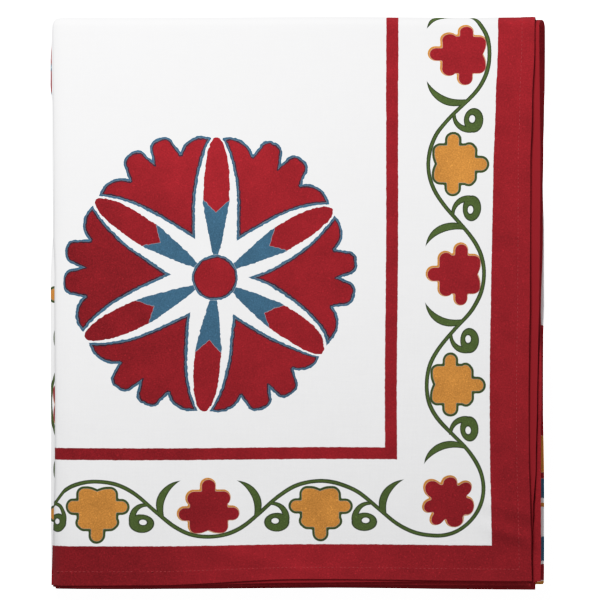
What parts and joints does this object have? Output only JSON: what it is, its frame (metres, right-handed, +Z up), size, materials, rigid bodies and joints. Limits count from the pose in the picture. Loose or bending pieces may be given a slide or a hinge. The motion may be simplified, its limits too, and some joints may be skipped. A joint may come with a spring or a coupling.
{
  "type": "folded printed tablecloth",
  "caption": "Cotton tablecloth printed with a suzani rosette, a flowering vine border and a red hemmed band, folded into a flat rectangular stack that rests on a shelf or table.",
  "frame": {"origin": "centre of the stack's outline, on the surface that it rests on", "axes": "+Z up through the layers, +Y along the longer side towards the folded end, +X towards the side hems"},
  "size_m": [0.3922, 0.4538, 0.0219],
  "materials": {
    "cotton": "matt plain-weave cotton, white ground printed in red, ochre, blue and green",
    "thread": "matt red sewing thread"
  },
  "bodies": {
    "root": {"tablecloth": "cotton"}
  },
  "joints": []
}
